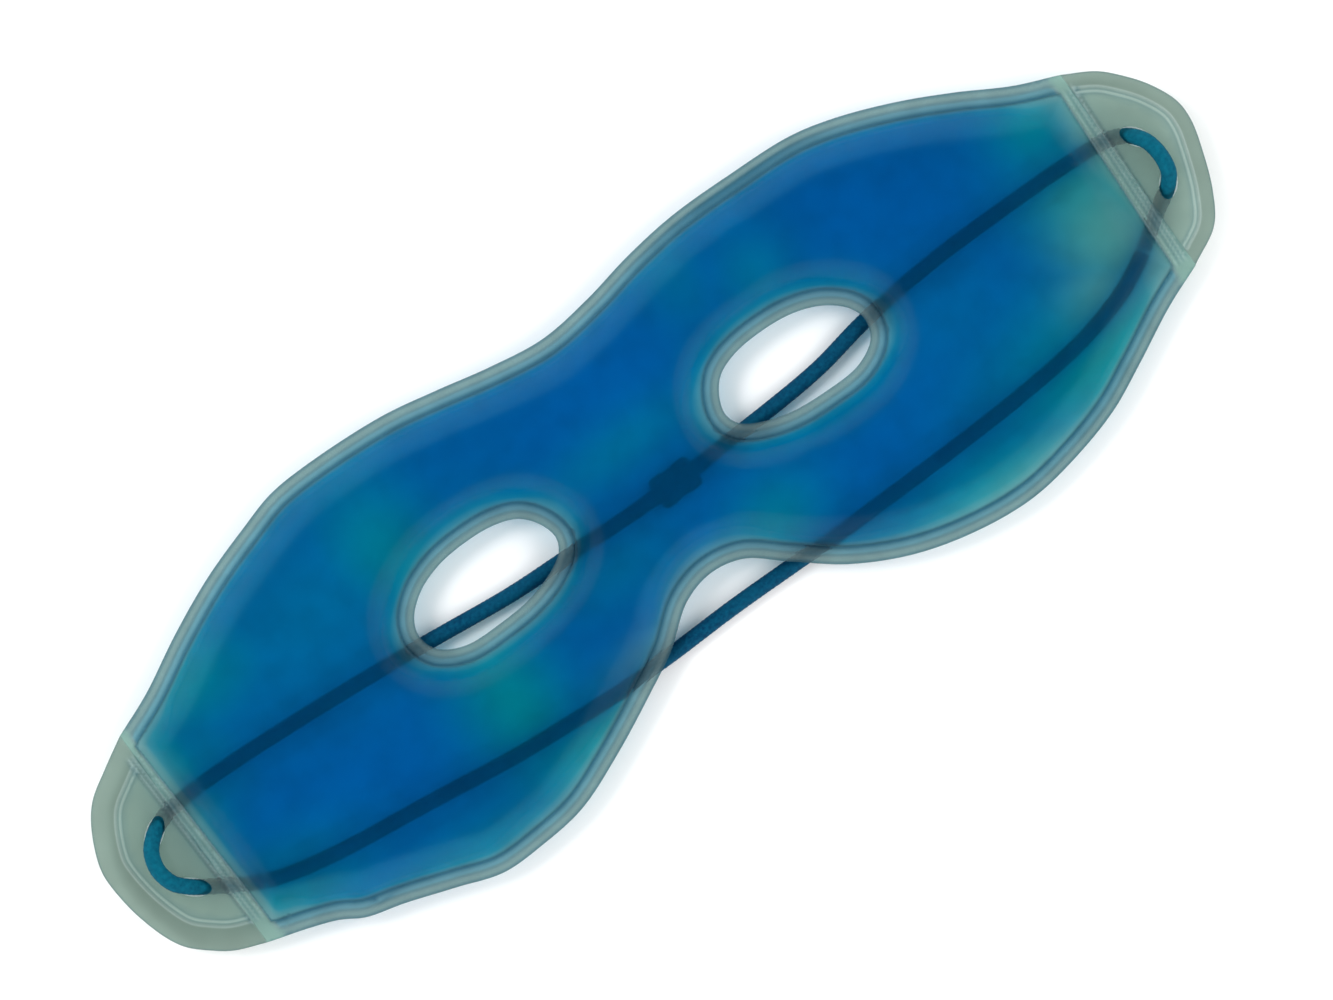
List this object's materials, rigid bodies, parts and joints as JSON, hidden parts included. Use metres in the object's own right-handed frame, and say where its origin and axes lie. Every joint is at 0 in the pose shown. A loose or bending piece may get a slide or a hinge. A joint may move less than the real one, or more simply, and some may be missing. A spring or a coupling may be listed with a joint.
{
  "type": "gel eye pillow",
  "caption": "Cooling gel eye mask of clear welded film with open eyes, punched end tabs and a round elastic cord.",
  "frame": {"origin": "on the surface the mask lies on, under the middle of the welded sheet", "axes": "+X along the mask to the right-hand tab as the front film faces the viewer, +Y to the brow, +Z out of the front film"},
  "size_m": [0.225, 0.0756, 0.0104],
  "materials": {
    "clear_film": "glossy clear soft vinyl film",
    "fused_film": "clear vinyl fused by a hot die, with pressed ridges",
    "blue_gel": "translucent blue gel",
    "teal_cord": "braided elastic cord",
    "dark_sleeve": "matte shrink sleeve"
  },
  "bodies": {
    "left_half": {"left_front_film": "clear_film", "left_back_film": "clear_film", "left_gel_fill": "blue_gel", "left_rim_seam": "fused_film", "left_eye_seam": "fused_film", "left_upper_cord": "teal_cord", "left_lower_cord": "teal_cord", "fill_port_seal": "fused_film"},
    "right_half": {"right_front_film": "clear_film", "right_back_film": "clear_film", "right_gel_fill": "blue_gel", "right_rim_seam": "fused_film", "right_eye_seam": "fused_film", "right_upper_cord": "teal_cord", "right_lower_cord": "teal_cord", "cord_splice_sleeve": "dark_sleeve"},
    "left_tab": {"left_tab_seam": "fused_film", "left_tab_front_film": "clear_film", "left_tab_back_film": "clear_film", "left_cord_loop": "teal_cord"},
    "right_tab": {"right_tab_seam": "fused_film", "right_tab_front_film": "clear_film", "right_tab_back_film": "clear_film", "right_cord_loop": "teal_cord"}
  },
  "joints": [
    {"name": "bridge_fold", "type": "hinge", "parent": "left_half", "child": "right_half", "pos_m": [0, 0, 0.0104], "axis": [0, -1, 0], "range_deg": [0, 120]},
    {"name": "left_tab_fold", "type": "hinge", "parent": "left_half", "child": "left_tab", "pos_m": [-0.0977, 0, 0.0048], "axis": [0, 1, 0], "range_deg": [0, 90]},
    {"name": "right_tab_fold", "type": "hinge", "parent": "right_half", "child": "right_tab", "pos_m": [0.0977, 0, 0.0048], "axis": [0, -1, 0], "range_deg": [0, 90]}
  ]
}
